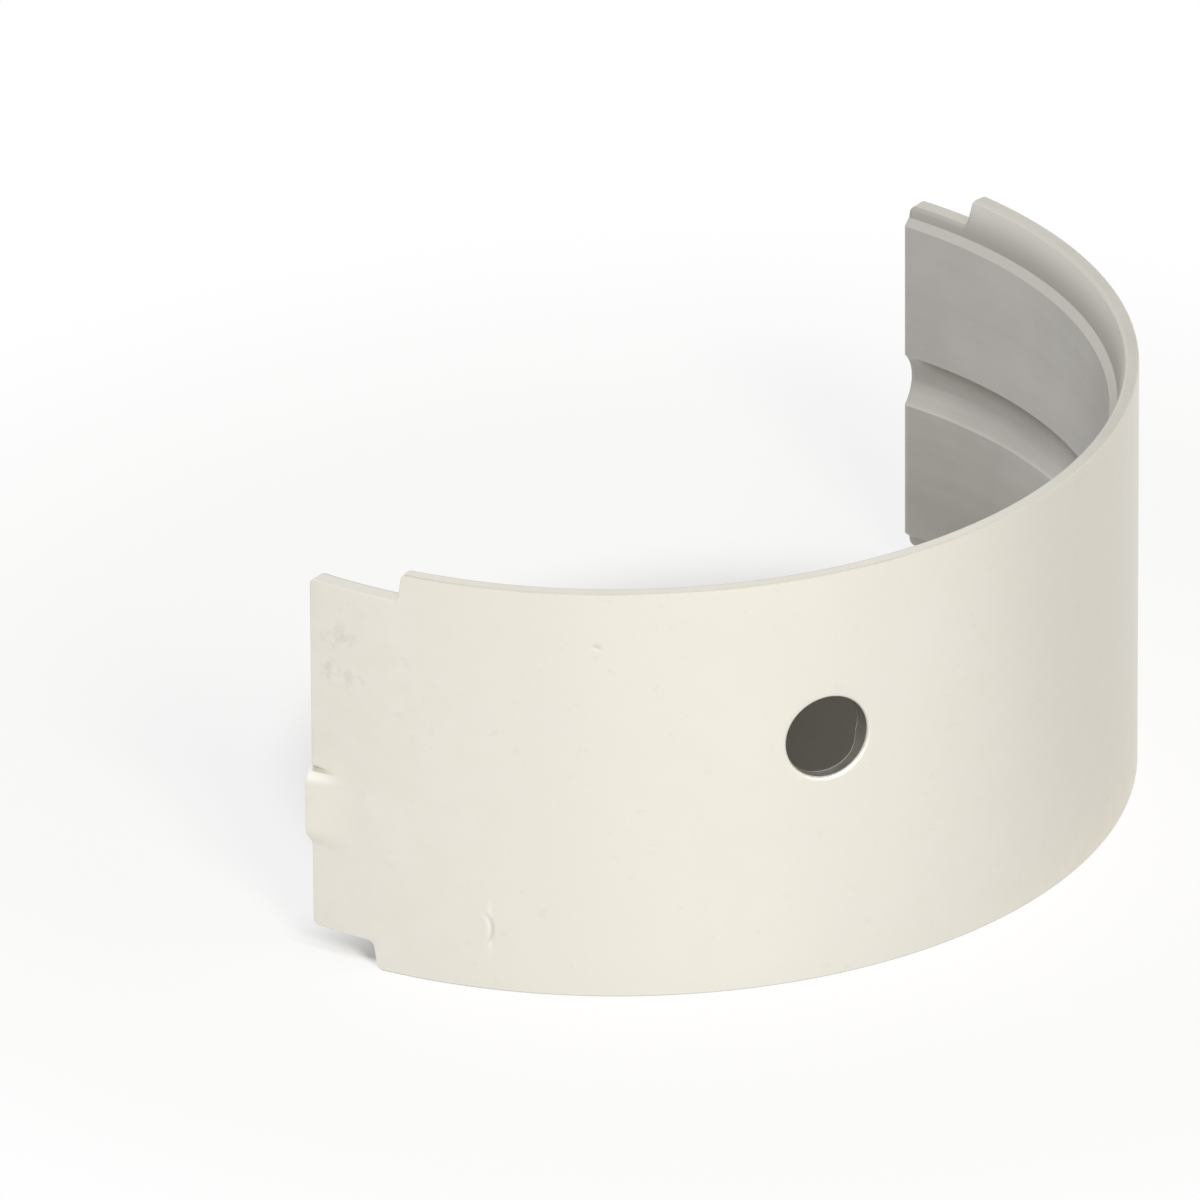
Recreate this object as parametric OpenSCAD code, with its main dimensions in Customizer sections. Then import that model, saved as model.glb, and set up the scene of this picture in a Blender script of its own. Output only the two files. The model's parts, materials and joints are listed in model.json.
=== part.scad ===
// Half shell of a split plain bearing, rolled from one lined steel strip.
// The bore axis is Z, the parting plane is Y = 0 and the crown of the shell points to -Y.
// The origin is on the bore axis at the middle of the shell's width, and the tang is at the -X end.

/* [Shell] */
// Diameter of the housing bore that the back of the shell lies in
housing_d = 95; // [80:0.5:120]
// Wall thickness from the back to the running surface
wall = 2.7; // [2.4:0.05:3.6]
// Width of the shell along the bore axis
width = 40.8; // [32:0.2:56]
// Chamfer between the back and each rim
back_chamfer = 0.35; // [0.1:0.05:0.6]

/* [Edge relief inside each rim] */
// Axial length of the tapered relief, from the rim down to its ledge
relief_len = 3.85; // [2:0.05:6]
// How much the taper thins the wall between the ledge and the rim
relief_taper = 0.7; // [0.2:0.05:0.9]
// Radial step of the sloping ledge between the relief and the running surface
ledge_step = 0.7; // [0.3:0.05:0.8]
// Axial height of the sloping ledge
ledge_rise = 0.65; // [0.3:0.05:1.2]

/* [Oil groove] */
// Width of the groove where it breaks into the running surface
groove_w = 5.2; // [3:0.1:8]
// Depth of the groove below the running surface
groove_depth = 1.1; // [0.5:0.05:1.4]

/* [Oil hole] */
// Diameter of the hole through the wall
hole_d = 8; // [4:0.1:10]
// Angle from the crown towards the tang end
hole_angle = 30.7; // [0:0.1:50]
// Height of the hole above the middle of the width
hole_z = 3.9; // [-6:0.1:6]
// Edge break at both mouths of the hole
hole_break = 0.3; // [0.1:0.05:0.5]

/* [Tang] */
// Width of the tang along the bore axis, where it stands out in full
tang_w = 6.5; // [4:0.1:10]
// Length of the tang around the back, from the parting face to its root
tang_len = 3.6; // [3:0.1:7]
// How far the tang stands out of the back at the parting face
tang_out = 1; // [0.5:0.05:1.4]
// Height of the middle of the tang, from the middle of the width
tang_z = -4.85; // [-8:0.05:8]
// Width over which the lower end of the tang slopes back to the shell
tang_run_out = 1.4; // [0.5:0.1:2.5]

/* [Narrowed ends] */
// How far each end is set in from each rim
end_cut_depth = 2.8; // [1.5:0.1:4]
// Length of both cuts at the plain end, around the back
plain_cut_len = 7; // [4:0.05:14]
// Length of the lower cut at the tang end, around the back
short_cut_len = 6.45; // [4:0.05:14]
// Length of the upper cut at the tang end, around the back
long_cut_len = 9.25; // [4:0.05:14]
// Slope of each cut's step, which opens the cut towards the rim
step_slope = 8; // [0:1:25]
// Corner radius of the cuts and of the parting faces' ends
corner_r = 0.6; // [0.3:0.05:0.9]

/* [Hidden] */
$fn = 240;

back_r = housing_d / 2;
bore_r = back_r - wall;
half_w = width / 2;
end_half_w = half_w - end_cut_depth;
rim_inner_r = bore_r + ledge_step + relief_taper;
ledge_outer_r = bore_r + ledge_step;
taper_foot_z = half_w - relief_len;
ledge_foot_z = taper_foot_z - ledge_rise;
groove_cut_r = (groove_w * groove_w / 4 + groove_depth * groove_depth) / (2 * groove_depth);

// Directions of the two parting faces and of the oil hole, around the bore axis
tang_end = 180;
plain_end = 360;
hole_dir = 270 - hole_angle;

// How far cutting shapes reach past the surfaces that they cut
over = 1;
// Number of flats that make up a rounded corner
corner_steps = 6;

// Angle of an arc of a given length around the back
function arc_angle(length) = length / back_r * 180 / PI;

// Points of a corner's round about its centre, between two directions
function arc_points(centre, start, end) =
    [for (i = [0:corner_steps])
        let (direction = start + (end - start) * i / corner_steps)
        centre + corner_r * [cos(direction), sin(direction)]];

// A row of points with its last flat carried on, so that it crosses the face that it ends at
function carried_on(points) =
    let (last = len(points) - 1)
    [for (i = [0:last]) i < last ? points[i] : points[i] + over * unit(points[i] - points[i - 1])];

function unit(v) = v / norm(v);

// Section of the wall, with radius along X and height along Y
module wall_section() {
    difference() {
        polygon([
            [back_r, half_w - back_chamfer],
            [back_r - back_chamfer, half_w],
            [rim_inner_r, half_w],
            [ledge_outer_r, taper_foot_z],
            [bore_r, ledge_foot_z],
            [bore_r, -ledge_foot_z],
            [ledge_outer_r, -taper_foot_z],
            [rim_inner_r, -half_w],
            [back_r - back_chamfer, -half_w],
            [back_r, -half_w + back_chamfer]
        ]);
        translate([bore_r + groove_depth - groove_cut_r, 0])
            circle(r = groove_cut_r);
    }
}

module half_ring() {
    rotate(tang_end)
        rotate_extrude(angle = plain_end - tang_end)
            wall_section();
}

// Disc of a given radius, swung outwards about the root of the tang
module swung_disc(radius) {
    root = tang_end + arc_angle(tang_len);
    root_point = [back_r * cos(root), back_r * sin(root)];
    swing = asin(tang_out / tang_len);
    translate(root_point)
        rotate(swing)
            translate(-root_point)
                circle(r = radius);
}

// Stretch of the end, between the parting plane and the root, that the tang is pressed from
module tang_window(above) {
    root_drop = back_r * sin(arc_angle(tang_len));
    translate([-back_r - wall, -root_drop])
        square([2 * wall + over, root_drop + above]);
}

// Space above the sloping lower end of the tang, which meets the back at the foot of the run-out
module above_tang_slope() {
    foot_z = tang_z - tang_w / 2 - tang_run_out;
    slope = tang_run_out / tang_out;
    translate([0, over, 0])
        rotate([90, 0, 0])
            linear_extrude(height = tang_len + 2 * over)
                polygon([
                    [-back_r + wall, foot_z - slope * wall],
                    [-back_r + wall, half_w],
                    [-back_r - wall, half_w],
                    [-back_r - wall, foot_z + slope * wall]
                ]);
}

// What the tang adds outside the back
module tang_bulge() {
    intersection() {
        translate([0, 0, tang_z - tang_w / 2 - 2 * tang_run_out])
            linear_extrude(height = tang_w + 2 * tang_run_out)
                difference() {
                    intersection() {
                        swung_disc(back_r);
                        tang_window(0);
                    }
                    circle(r = back_r - wall / 2);
                }
        above_tang_slope();
    }
}

// What pressing the tang takes out of the running surface
module tang_pocket() {
    translate([0, 0, tang_z - tang_w / 2])
        linear_extrude(height = tang_w)
            intersection() {
                swung_disc(bore_r);
                tang_window(over);
            }
}

// Extrudes an outline along the radius at an angle, with its X around the shell and its Y along the axis
module along_radius(angle, z) {
    rotate(angle)
        translate([bore_r - wall, 0, z])
            rotate([90, 0, 90])
                linear_extrude(height = 2 * wall + over)
                    children();
}

// Outline of a cut, from the foot of its sloping step: X leads to the end of the shell, Y to the rim
function cut_outline(length) =
    let (
        slope_run = end_cut_depth * tan(step_slope),
        tangent = corner_r * tan(45 - step_slope / 2),
        rim_round_x = -slope_run - tangent
    )
    concat(
        [[length + over, 0]],
        arc_points([tangent, corner_r], 270, 180 + step_slope),
        carried_on(arc_points([rim_round_x, end_cut_depth - corner_r], step_slope, 90)),
        [[length + over, end_cut_depth + over]]
    );

// Outline that rounds the corner between a parting face and the floor of a cut
function end_corner_outline() =
    let (
        round = carried_on(arc_points([-corner_r, -corner_r], 90, 0)),
        turned_round = [for (i = [len(round) - 1:-1:0]) round[i]]
    )
    concat(carried_on(turned_round), [[-corner_r, over], [over, over]]);

// Cut that narrows one end at one rim, with its corners rounded.
// The end lies at an angle, turn leads from it into the shell, and lift is 1 at the upper rim.
module end_cut(end_angle, turn, lift, length) {
    step_angle = end_angle + turn * arc_angle(length);
    floor_z = lift * end_half_w;
    along_radius(step_angle, floor_z)
        polygon([for (p = cut_outline(length)) [-turn * p[0], lift * p[1]]]);
    along_radius(end_angle, floor_z)
        polygon([for (p = end_corner_outline()) [-turn * p[0], lift * p[1]]]);
}

// Radial oil hole with both mouths broken
module oil_hole() {
    hole_r = hole_d / 2;
    rotate(hole_dir)
        translate([0, 0, hole_z])
            rotate([0, 90, 0]) {
                translate([0, 0, bore_r - wall])
                    cylinder(r = hole_r, h = 3 * wall);
                translate([0, 0, back_r - hole_break])
                    cylinder(r1 = hole_r, r2 = hole_r + hole_break + over, h = hole_break + over);
                translate([0, 0, bore_r - over])
                    cylinder(r1 = hole_r + hole_break + over, r2 = hole_r, h = hole_break + over);
            }
}

module bearing_shell() {
    color([0.88, 0.87, 0.83])
        difference() {
            union() {
                half_ring();
                tang_bulge();
            }
            tang_pocket();
            oil_hole();
            end_cut(tang_end, 1, 1, long_cut_len);
            end_cut(tang_end, 1, -1, short_cut_len);
            end_cut(plain_end, -1, 1, plain_cut_len);
            end_cut(plain_end, -1, -1, plain_cut_len);
        }
}

bearing_shell();
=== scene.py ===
"""Half shell of a split plain bearing: the strip is cut flat, rolled round, finished and set on a stage."""

import json
import math

import bmesh
import bpy
from bpy.props import FloatProperty, FloatVectorProperty, IntProperty, PointerProperty
from mathutils import Matrix, Vector


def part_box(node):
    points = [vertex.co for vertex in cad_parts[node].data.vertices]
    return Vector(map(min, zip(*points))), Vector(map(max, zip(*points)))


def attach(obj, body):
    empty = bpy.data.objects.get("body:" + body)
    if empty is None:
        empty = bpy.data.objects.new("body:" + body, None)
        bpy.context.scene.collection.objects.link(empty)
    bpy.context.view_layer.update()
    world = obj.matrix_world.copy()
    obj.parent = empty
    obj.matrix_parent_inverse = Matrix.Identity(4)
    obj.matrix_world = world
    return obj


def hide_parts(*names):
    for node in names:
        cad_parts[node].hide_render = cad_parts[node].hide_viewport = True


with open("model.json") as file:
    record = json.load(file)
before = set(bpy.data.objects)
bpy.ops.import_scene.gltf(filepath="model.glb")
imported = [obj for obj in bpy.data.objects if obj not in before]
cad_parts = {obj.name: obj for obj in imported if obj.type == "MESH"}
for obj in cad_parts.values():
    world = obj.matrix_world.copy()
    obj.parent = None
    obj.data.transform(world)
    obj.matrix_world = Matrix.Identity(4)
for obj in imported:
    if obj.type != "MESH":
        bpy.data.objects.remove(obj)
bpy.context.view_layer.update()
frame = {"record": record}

bl_info = {
    "name": "Bearing shell",
    "version": (1, 0, 0),
    "blender": (4, 5, 0),
    "location": "View3D > Sidebar > Bearing shell",
    "description": "Builds a half shell of a split plain bearing and the stage that it stands on",
    "category": "Add Mesh",
}

NODE = "bearing_shell"
BODY = "root"
MM = 0.001
LOW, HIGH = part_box(NODE)
MOUNTS = {mount["name"]: mount for mount in frame["record"]["mounts"]}
HOLE_SPOT = MOUNTS["oil_hole"]["pos_m"]
TANG_SPOT = MOUNTS["tang"]["pos_m"]

# Material slots of the shell's faces
BACK, BORE, EDGE, HOLE = range(4)


def length(name, description, default):
    """A size in metres that the sidebar shows as a length."""
    return FloatProperty(
        name=name, description=description, default=default, min=0.0, precision=5, unit="LENGTH")


def mounted_length(name, description, mount, dimension):
    """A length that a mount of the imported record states."""
    return length(name, description, MOUNTS[mount]["dims"][dimension] * MM)


def angle(name, description, degrees):
    """An angle, given in degrees."""
    return FloatProperty(
        name=name, description=description, default=math.radians(degrees), subtype="ANGLE")


def share(name, description, default):
    """A number from 0 to 1."""
    return FloatProperty(
        name=name, description=description, default=default, min=0.0, max=1.0, subtype="FACTOR")


def colour(name, description, default):
    """A colour, written as it renders under plain light."""
    return FloatVectorProperty(
        name=name, description=description, default=default, min=0.0, max=1.0, size=3, subtype="COLOR")


class ShellSizes(bpy.types.PropertyGroup):
    """Sizes of the shell, most of them as they are before the strip is rolled."""

    back_radius: length("Back radius", "Radius of the back, which lies in the housing", HIGH.x)
    bore_radius: mounted_length("Bore radius", "Radius of the running surface", "journal", "r_mm")
    width: length("Width", "Width along the bore axis", HIGH.z - LOW.z)
    relief_length: length("Relief length", "Axial length of the tapered relief inside each rim", 0.00385)
    relief_taper: length("Relief taper", "How much the relief thins the wall up to the rim", 0.0007)
    ledge_step: length("Ledge step", "Radial step of the ledge below the relief", 0.0007)
    ledge_rise: length("Ledge rise", "Axial height of the ledge", 0.00065)
    groove_width: length("Groove width", "Width of the oil groove at the running surface", 0.0052)
    groove_depth: length("Groove depth", "Depth of the oil groove", 0.0011)
    hole_radius: mounted_length("Hole radius", "Radius of the oil hole", "oil_hole", "r_mm")
    cut_depth: length("Cut depth", "How far the ends are set in from the rims", 0.0028)
    plain_cut: length("Plain end cuts", "Length of both cuts at the plain end", 0.007)
    short_cut: length("Short cut", "Length of the lower cut at the tang end", 0.00645)
    long_cut: length("Long cut", "Length of the upper cut at the tang end", 0.00925)
    cut_slope: angle("Cut slope", "Slope of the step at the end of each cut", 8)
    corner_round: length("Corner round", "Radius of the corners of the cuts", 0.0006)
    back_round: length("Back edge round", "Rounding of the edges of the back", 0.00013)
    hole_round: length("Hole round", "Rounding of the hole's mouth in the back", 0.0003)
    bore_round: length("Bore edge round", "Rounding of the edges of the bore", 0.0003)
    tang_width: mounted_length("Tang width", "Width where the tang stands out in full", "tang", "length_mm")
    tang_length: length("Tang length", "Length of the tang from the parting face to its root", 0.0036)
    tang_out: length("Tang height", "How far the tang stands out of the back", -LOW.x - HIGH.x)
    tang_run_out: length("Tang run-out", "Width over which the lower end of the tang slopes away", 0.0014)
    tang_tear: length("Tang tear", "Depth of the torn line along the sheared side of the tang", 0.00014)
    dent_depth: length("Dent depth", "Depth of the curved nick in the back", 0.00007)
    pit_depth: length("Pit depth", "Depth of the small pit in the back", 0.00006)
    roll_steps: IntProperty(
        name="Roll steps", description="Number of flats around the shell", default=240, min=24, max=480)


class ShellFinish(bpy.types.PropertyGroup):
    """Colours and roughness of the shell's finishes, with the colours of painted highlights, painted light
    and painted shade among them.
    """

    flash: colour("Flash", "Pale metal flash on the back", (0.80, 0.768, 0.69))
    flash_dull: colour("Dull flash", "Duller clouds in the flash", (0.752, 0.72, 0.64))
    # Real handling stains, and also the painted shade on the rounded rim edges of the back
    stain_and_shade: colour("Stain", "Handling stains on the back", (0.50, 0.475, 0.42))
    # Painted highlight: the bright colour on the tang's upper side and on the nick's lit side
    painted_highlight: colour("Burnish", "Bright metal at the sheared side of the tang", (0.95, 0.93, 0.87))
    # Painted shade: the dark colour in the torn line, on the nick's shaded side and in the pit
    painted_shade: colour("Residue", "Dark residue in nicks and torn lines", (0.30, 0.285, 0.26))
    lining: colour("Lining", "Bored running surface", (0.58, 0.56, 0.525))
    lining_dark: colour("Dark lining", "Darker turning lines of the running surface", (0.41, 0.395, 0.367))
    ledge: colour("Ledge", "Bright cut of each ledge", (0.51, 0.49, 0.455))
    relief: colour("Relief", "Upper part of each edge relief", (0.70, 0.675, 0.63))
    # Painted shade: the colour at the foot of each relief, in the corner above the ledge
    corner_painted_shade: colour("Corner residue", "Residue in the corner above each ledge", (0.40, 0.385, 0.35))
    cut_metal: colour("Cut metal", "Machined rims and parting faces", (0.60, 0.578, 0.525))
    # Painted light: the rims take this brighter colour towards the tang end
    cut_painted_light: colour("Rubbed cut metal", "Rims that handling has rubbed bright", (0.76, 0.732, 0.665))
    cut_dark: colour("Dark cut metal", "Darker tool lines on the rims", (0.48, 0.462, 0.415))
    # Painted shade: the hole's wall is kept dark, with darker streaks, to show the shade in the hole
    hole_steel_and_shade: colour("Hole wall", "Steel in the wall of the oil hole", (0.20, 0.185, 0.16))
    hole_dark: colour("Dark hole wall", "Dark streaks in the wall of the oil hole", (0.11, 0.10, 0.085))
    roughness: share("Roughness", "Roughness of the flash", 0.42)
    lining_roughness: share("Lining roughness", "Roughness of the running surface", 0.36)


class StageLook(bpy.types.PropertyGroup):
    """Floor, light and camera."""

    floor: colour("Floor", "Colour of the floor", (0.77, 0.74, 0.665))
    key_power: FloatProperty(
        name="Key light", description="Power of the large lamp", default=17.0, min=0.0, unit="POWER")
    key_turn: angle("Key turn", "How far the large lamp stands to the right of the camera", 20)
    key_rise: angle("Key rise", "How high the large lamp stands above the floor", 33)
    fill: share("Fill light", "Level of the light from all round", 0.03)
    lens: length("Lens", "Focal length of the camera", 0.7921)
    distance: length("Camera distance", "From the camera to the shell", 2.4206)


# Shape of the pressed tang, in millimetres from the parting face or from its upper side, and in shares
ROOT_BEND = 0.36
SHEAR = 0.06
TEAR_WIDTH = 0.35
TEAR_START = 0.4
TEAR_END = 2.2
SHEAR_START = 1.4
SHEAR_END = 3.2
HELD_WIDTH = 1.1
ROLLOVER = 0.38
ROLLOVER_WIDTH = 1.0
SLOPE_SOFT = 0.5
POCKET_EDGE = 0.2
TANG_ZONE = 6.0
# Curved nick in the back with its raised lip, in millimetres on the flat strip
NICK_CENTRE = (-59.2, -14.2)
NICK_RADIUS = 2.6
NICK_HALF = 1.75
NICK_FULL = 0.55 * NICK_HALF
NICK_WIDTH = 0.24
NICK_LIP = 0.4
NICK_LIP_AWAY = 2.2 * NICK_WIDTH
# Small slanting pit in the back, in millimetres on the flat strip
PIT_CENTRE = (-46.8, 15.0)
PIT_RADIUS = 0.24
PIT_STRETCH = 0.7
PIT_SLANT = 0.4
# Depth next to the back and the bore in which the rounding of the edges keeps its shape
SKIN = 0.35
# Ring around the oil hole that is pulled straight, so that the hole stays a cylinder when it is rolled
HOLE_ZONE = 3.0


def smooth(low, high, value):
    """Smooth step from 0 at low to 1 at high, also where high lies below low."""
    t = min(1.0, max(0.0, (value - low) / (high - low)))
    return t * t * (3 - 2 * t)


def hump(away, width):
    """Bell-shaped hump of height 1 and a given width."""
    return math.exp(-((away / width) ** 2))


def between(low, high, t):
    """Value at a share of the way from low to high."""
    return low * (1 - t) + high * t


class Strip:
    """The flat strip, in millimetres: u runs around the back from the crown, z along the bore axis."""

    def __init__(self, sizes):
        def mm(name):
            return getattr(sizes, name) / MM

        self.back_r = mm("back_radius")
        self.bore_r = mm("bore_radius")
        self.wall = self.back_r - self.bore_r
        self.half_w = mm("width") / 2
        self.end_u = math.pi * self.back_r / 2
        self.ledge_r = self.bore_r + mm("ledge_step")
        self.rim_r = self.ledge_r + mm("relief_taper")
        self.taper_z = self.half_w - mm("relief_length")
        self.ledge_z = self.taper_z - mm("ledge_rise")
        self.groove_half = mm("groove_width") / 2
        self.groove_depth = mm("groove_depth")
        self.groove_r = (self.groove_half ** 2 + self.groove_depth ** 2) / (2 * self.groove_depth)
        self.hole_r = mm("hole_radius")
        self.hole_u = math.atan2(HOLE_SPOT[0], -HOLE_SPOT[1]) * self.back_r
        self.hole_z = HOLE_SPOT[2] / MM
        self.floor_z = self.half_w - mm("cut_depth")
        self.slope_run = mm("cut_depth") * math.tan(sizes.cut_slope)
        self.plain_cut = mm("plain_cut")
        self.short_cut = mm("short_cut")
        self.long_cut = mm("long_cut")
        self.corner_round = mm("corner_round")
        self.back_round = mm("back_round")
        self.hole_round = mm("hole_round")
        self.bore_round = mm("bore_round")
        self.tang_len = mm("tang_length")
        self.tang_out = mm("tang_out")
        self.tang_top = TANG_SPOT[2] / MM + mm("tang_width") / 2
        self.tang_low = TANG_SPOT[2] / MM - mm("tang_width") / 2
        self.run_out = mm("tang_run_out")
        self.tear = mm("tang_tear")
        self.dent_depth = mm("dent_depth")
        self.pit_depth = mm("pit_depth")
        self.steps = sizes.roll_steps

    def outline(self):
        """Corners of the strip: a rectangle whose four corners are cut in."""
        end, rim, floor, run = self.end_u, self.half_w, self.floor_z, self.slope_run
        return [
            (-end, -floor), (-end + self.short_cut, -floor), (-end + self.short_cut + run, -rim),
            (end - self.plain_cut - run, -rim), (end - self.plain_cut, -floor), (end, -floor),
            (end, floor), (end - self.plain_cut, floor), (end - self.plain_cut - run, rim),
            (-end + self.long_cut + run, rim), (-end + self.long_cut, floor), (-end, floor),
        ]

    def on_hole(self, point):
        """Carries a point of the square panel around the oil hole to the hole's edge, evenly spaced."""
        du, dz = point.x - self.hole_u, point.z - self.hole_z
        if abs(du) >= abs(dz):
            turn = dz / du * math.pi / 4 + (math.pi if du < 0 else 0)
        else:
            turn = math.pi / 2 - du / dz * math.pi / 4 + (math.pi if dz < 0 else 0)
        return Vector((
            self.hole_u + self.hole_r * math.cos(turn), 0, self.hole_z + self.hole_r * math.sin(turn)))

    def from_hole(self, u, z):
        """Distance from the middle of the oil hole on the flat strip."""
        return math.hypot(u - self.hole_u, z - self.hole_z)

    def inner_radius(self, z):
        """Radius of the inside at a height: running surface, groove, ledge and relief."""
        height = abs(z)
        if height < self.groove_half:
            groove_middle = self.bore_r + self.groove_depth - self.groove_r
            return groove_middle + math.sqrt(self.groove_r ** 2 - z * z)
        if height < self.ledge_z:
            return self.bore_r
        if height < self.taper_z:
            up = (height - self.ledge_z) / (self.taper_z - self.ledge_z)
            return between(self.bore_r, self.ledge_r, up)
        up = (height - self.taper_z) / (self.half_w - self.taper_z)
        return between(self.ledge_r, self.rim_r, up)

    def tang_ramp(self, s):
        """How far the tang is swung out at a distance from the parting face, softly bent at its root."""
        t = 1 - s / self.tang_len
        if t <= -ROOT_BEND:
            return 0.0
        if t < ROOT_BEND:
            return self.tang_out * (t + ROOT_BEND) ** 2 / (4 * ROOT_BEND)
        return self.tang_out * t

    def tang_lift(self, s, z):
        """How far the back stands out at the tang, and falls in along its torn upper side."""
        swung = self.tang_ramp(s)
        if z > self.tang_top:
            above = max(0.0, z - self.tang_top - SHEAR)
            torn = self.tear * smooth(TEAR_END, TEAR_START, s) * (1 - smooth(0, TEAR_WIDTH, above))
            held = (1 - ROLLOVER) * smooth(SHEAR_START, SHEAR_END, s) * (1 - smooth(0, HELD_WIDTH, above))
            return swung * held - torn
        drawn = ROLLOVER * smooth(self.tang_top - ROLLOVER_WIDTH, self.tang_top, z)
        slope = smooth(self.tang_low - self.run_out, self.tang_low + SLOPE_SOFT, z)
        return swung * (1 - drawn) * slope

    def pocket_lift(self, s, z):
        """How far the press has pushed the inside out behind the tang."""
        side = smooth(self.tang_low - SHEAR, self.tang_low + POCKET_EDGE, z)
        side *= 1 - smooth(self.tang_top - POCKET_EDGE, self.tang_top + SHEAR, z)
        return self.tang_ramp(s) * side

    def mark_lift(self, u, z):
        """Depth of the curved nick and the small pit in the back."""
        nick_du, nick_dz = u - NICK_CENTRE[0], z - NICK_CENTRE[1]
        away = math.hypot(nick_du, nick_dz) - NICK_RADIUS
        along = 1 - smooth(NICK_FULL, NICK_HALF, abs(nick_dz))
        lift = 0.0
        if nick_du > 0 and along > 0:
            lip = NICK_LIP * hump(away + NICK_LIP_AWAY, NICK_WIDTH)
            lift = self.dent_depth * along * (lip - hump(away, NICK_WIDTH))
        pit_du, pit_dz = u - PIT_CENTRE[0], z - PIT_CENTRE[1]
        from_pit = math.hypot(pit_du * PIT_STRETCH + pit_dz * PIT_SLANT, pit_dz)
        return lift - self.pit_depth * hump(from_pit, PIT_RADIUS)

    def rolled(self, u, depth, z):
        """Where a point of the flat strip lies on the finished shell, in metres."""
        s = u + self.end_u
        outer = self.back_r
        inner = self.inner_radius(z)
        if s < TANG_ZONE:
            outer += self.tang_lift(s, z)
            inner = max(inner, self.bore_r + self.pocket_lift(s, z))
        if depth < SKIN:
            outer += self.mark_lift(u, z)
        if depth <= SKIN:
            radius = outer - depth
        elif depth >= self.wall - SKIN:
            radius = inner + self.wall - depth
        else:
            radius = between(outer - SKIN, inner + SKIN, (depth - SKIN) / (self.wall - 2 * SKIN))
        away = self.from_hole(u, z)
        if away < self.hole_r + HOLE_ZONE:
            straight = 1 - smooth(self.hole_r + 2 * SKIN, self.hole_r + HOLE_ZONE, away)
            u = self.hole_u + (u - self.hole_u) * (1 + (self.back_r / radius - 1) * straight)
        turn = u / self.back_r
        return Vector((radius * math.sin(turn), -radius * math.cos(turn), z)) * MM


# Flats in the rounds of corners, edges, the groove and the oil hole
CORNER_FLATS = 6
EDGE_FLATS = 3
GROOVE_FLATS = 14
HOLE_FLATS = 64
# Width of the square panel outside the oil hole, and the slack in which its edges are found
HOLE_MARGIN = 2.0
PANEL_SLACK = 0.01
# Points closer than this lie in the same plane, and points closer than the seam are joined
NEAR = 0.001
SEAM = 0.004
# Edges between faces at a larger angle are corners of the flat strip, or sharp edges of the shell
FLAT_CORNER = 1.0
SHARP_ANGLE = math.radians(35)
# Edges that lie closer than this to the wall of the oil hole belong to it
HOLE_EDGE_REACH = 1.0
# Window of the tang's own lines: its reach past the parting face, below the slope and above the tang
TANG_OVER_END = 1.0
TANG_BELOW = 0.6
TANG_ABOVE = 1.2
# First and last of the lines along the tang, from the parting face, and their spacing
TANG_LINES = (0.35, TANG_ZONE - 0.3, 0.25)
# Lines around the tang: below its upper side, above it in shares of the torn width, and at the pocket
DRAWN_LINES = (1.0, 0.75, 0.5, 0.3, 0.15, SHEAR, 0)
TORN_LINES = (0, 0.15, 0.35, 0.6, 0.8, 1)
POCKET_LINES = (-SHEAR, 0, POCKET_EDGE / 2, POCKET_EDGE)
# Lines around the slope and the face of the tang: how far past or short of their ends, and their spacing
SLOPE_BELOW = 0.2
SLOPE_ABOVE = 0.4
SLOPE_LINES = 0.2
FACE_FROM = 0.6
FACE_TO = 1.2
FACE_LINES = 0.6
# Fine grids around the nick and the pit: reach from the middle, and spacing
NICK_GRID = (NICK_HALF + 0.4, 0.12)
PIT_GRID = (4 * PIT_RADIUS, 0.1)


def inside(point, low, high):
    """Whether a point of the strip lies in a window of u and z."""
    return low[0] < point.x < high[0] and low[1] < point.z < high[1]


def cut_lines(bm, across, places, window=None):
    """Cuts straight lines into the strip, across u or z, or only into the faces inside a window."""
    normal = Vector((1, 0, 0)) if across == "u" else Vector((0, 0, 1))
    for place in places:
        faces = bm.faces[:]
        if window:
            low, high = window
            faces = [f for f in faces if inside(f.calc_center_bounds(), low, high)]
        edges = dict.fromkeys(e for f in faces for e in f.edges)
        verts = dict.fromkeys(v for f in faces for v in f.verts)
        geom = list(verts) + list(edges) + faces
        bmesh.ops.bisect_plane(bm, geom=geom, dist=NEAR, plane_co=normal * place, plane_no=normal)


def spaced(low, high, step):
    """Places at about the given step from low to high, both of them included."""
    count = max(1, round((high - low) / step))
    return [low + (high - low) * i / count for i in range(count + 1)]


def cut_blank(strip):
    """The flat blank: its outline with rounded corners, and the oil hole punched in it."""
    bm = bmesh.new()
    corners = [bm.verts.new((u, 0, z)) for u, z in strip.outline()]
    bm.faces.new(corners)
    bmesh.ops.bevel(
        bm, geom=corners, affect="VERTICES", offset=strip.corner_round, offset_type="OFFSET",
        segments=CORNER_FLATS, profile=0.5, material=-1, clamp_overlap=True)
    punch_hole(bm, strip)
    return bm


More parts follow.
